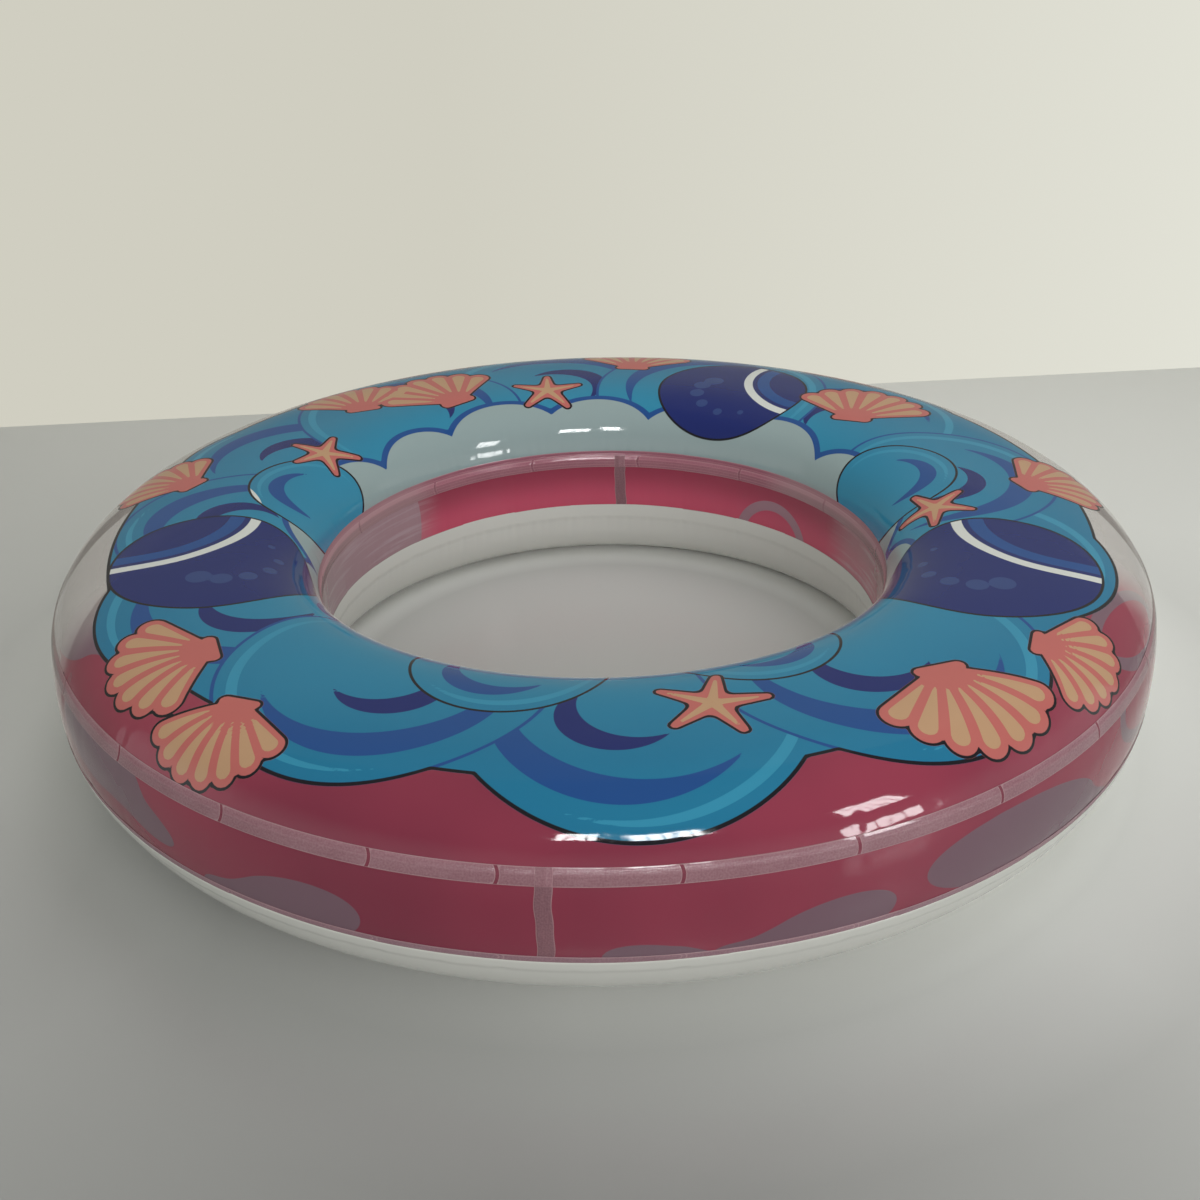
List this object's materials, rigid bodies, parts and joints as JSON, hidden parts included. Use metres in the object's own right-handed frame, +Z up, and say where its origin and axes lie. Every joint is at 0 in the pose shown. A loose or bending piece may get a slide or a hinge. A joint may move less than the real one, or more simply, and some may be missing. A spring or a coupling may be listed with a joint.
{
  "type": "inflatable swim ring",
  "caption": "Large inflatable swim ring of welded vinyl film, with a printed top, see-through coloured side bands, a white underside and a screw valve at the back.",
  "frame": {"origin": "the ring's axis at the floor it lies on", "axes": "+Z up along the ring's axis; -Y is the front, with the outer band's upright weld 5 degrees to the left of it; the valve is at +Y"},
  "size_m": [1.997, 1.997, 0.374],
  "materials": {
    "printed_top_film": "glossy printed vinyl film",
    "printed_side_film": "glossy see-through printed vinyl film",
    "white_film": "glossy opaque white vinyl film",
    "clear_weld": "knurled fused lap of two films",
    "white_weld": "knurled fused lap of white film over printed film",
    "valve_vinyl": "soft moulded vinyl",
    "valve_nylon": "hard moulded plastic",
    "seal_rubber": "matt black rubber"
  },
  "bodies": {
    "ring": {"top_panel": "printed_top_film", "outer_side_band": "printed_side_film", "inner_side_band": "printed_side_film", "bottom_panel": "white_film", "outer_top_weld": "clear_weld", "inner_top_weld": "clear_weld", "outer_bottom_weld": "white_weld", "inner_bottom_weld": "white_weld", "outer_band_joint": "clear_weld", "inner_band_joint": "clear_weld", "valve_base": "valve_vinyl"},
    "tether": {"valve_tether": "valve_vinyl"},
    "insert": {"valve_insert": "valve_nylon", "valve_insert_seal": "seal_rubber"},
    "flap": {"valve_flap": "seal_rubber"},
    "cap_seal": {"valve_cap_seal": "seal_rubber"},
    "cap": {"valve_cap": "valve_nylon"}
  },
  "joints": [
    {"name": "insert_rise", "type": "slide", "parent": "ring", "child": "tether", "axis": [0, 0.7176, -0.6965], "range_m": [0, 0.00375]},
    {"name": "insert_turn", "type": "hinge", "parent": "tether", "child": "insert", "pos_m": [0, 0.94857, 0.06583], "axis": [0, 0.7176, -0.6965], "range_deg": [0, 540]},
    {"name": "flap_lift", "type": "slide", "parent": "insert", "child": "flap", "axis": [0, -0.7176, 0.6965], "range_m": [0, 0.0025], "stiffness_N_per_m": 20},
    {"name": "cap_rise", "type": "slide", "parent": "insert", "child": "cap_seal", "axis": [0, 0.7176, -0.6965], "range_m": [0, 0.00375]},
    {"name": "cap_turn", "type": "hinge", "parent": "cap_seal", "child": "cap", "pos_m": [0, 0.94857, 0.06583], "axis": [0, 0.7176, -0.6965], "range_deg": [0, 540]}
  ],
  "couplings": [
    {"joint": "insert_turn", "follows": "insert_rise", "rad_per_m": 2513.3},
    {"joint": "cap_turn", "follows": "cap_rise", "rad_per_m": 2513.3}
  ]
}
